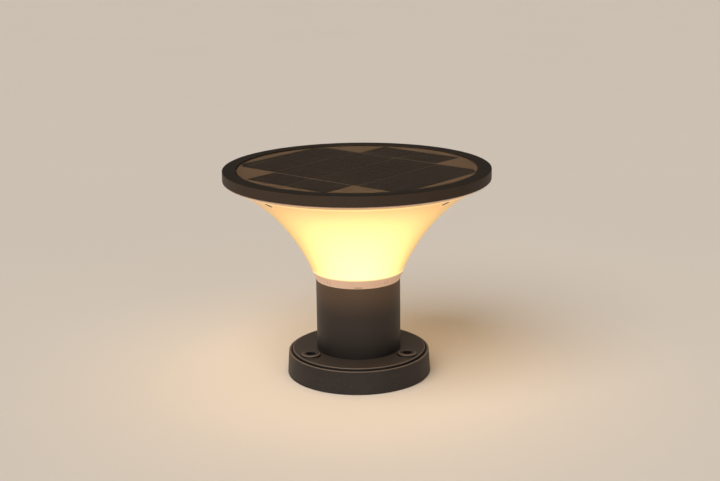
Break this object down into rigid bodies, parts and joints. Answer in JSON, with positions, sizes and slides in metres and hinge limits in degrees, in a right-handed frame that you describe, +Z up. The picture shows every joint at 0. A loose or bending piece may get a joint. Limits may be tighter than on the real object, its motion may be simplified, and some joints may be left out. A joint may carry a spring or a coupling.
{
  "type": "solar pillar light",
  "caption": "Round solar pillar light: bolt-down cast base, round column, trumpet-shaped opal diffuser and a cast top ring with a round solar panel.",
  "frame": {"origin": "centre of the base's underside, on the floor", "axes": "+Z up along the column, -Y towards the front, where two bolt bosses lie either side of the column"},
  "size_m": [0.25, 0.25, 0.2],
  "materials": {
    "powder_coat": "charcoal powder coat, fine matte texture",
    "base_coat": "charcoal powder coat, sand texture",
    "opal_plastic": "opal diffuser, lit warm white",
    "panel_glass": "clear flat glass",
    "solar_cell": "dark cells with fine collecting lines",
    "backsheet": "white back sheet",
    "ribbon": "tinned copper ribbon",
    "screw_steel": "stainless screws",
    "cap_metal": "bare cast aluminium",
    "switch_metal": "nickel-plated switch body",
    "seal_rubber": "black silicone rubber",
    "bead": "dark silicone bead",
    "black_plastic": "black moulded plastic",
    "white_plastic": "white reflector plastic",
    "circuit_board": "green circuit board",
    "light_board": "white light board",
    "light_chip": "warm white light packages",
    "cell_wrap": "blue shrink wrap",
    "wire": "insulated wire"
  },
  "bodies": {
    "lamp": {"base_flange": "base_coat", "bottom_cover": "base_coat", "cover_gasket": "seal_rubber", "cover_screws": "screw_steel", "switch_body": "switch_metal", "switch_nut": "switch_metal", "column_tube": "powder_coat", "base_screws": "screw_steel", "battery_holder_lower": "black_plastic", "battery_holder_upper": "black_plastic", "battery_cells": "cell_wrap", "battery_tabs": "ribbon", "battery_lead": "wire", "switch_lead": "wire", "control_board": "circuit_board", "control_components": "black_plastic", "column_cap": "cap_metal", "cap_screws": "screw_steel", "neck_oring": "seal_rubber", "cap_grommet": "seal_rubber", "led_board": "light_board", "led_chips": "light_chip", "led_screws": "screw_steel", "led_lead": "wire", "diffuser": "opal_plastic", "flange_screws": "screw_steel", "flange_seal": "seal_rubber", "bezel_ring": "powder_coat", "reflector_plate": "white_plastic", "reflector_screws": "screw_steel", "plate_grommet": "seal_rubber", "panel_lead": "black_plastic", "panel_terminal": "black_plastic", "panel_adhesive": "bead", "panel_backsheet": "backsheet", "solar_cells": "solar_cell", "cell_ribbons": "ribbon", "panel_glass": "panel_glass"},
    "power_button": {"button_cap": "black_plastic"}
  },
  "joints": [
    {"name": "button_press", "type": "slide", "parent": "lamp", "child": "power_button", "axis": [0, 0, 1], "range_m": [0, 0.0015], "stiffness_N_per_m": 1000, "springref_m": -0.001}
  ]
}
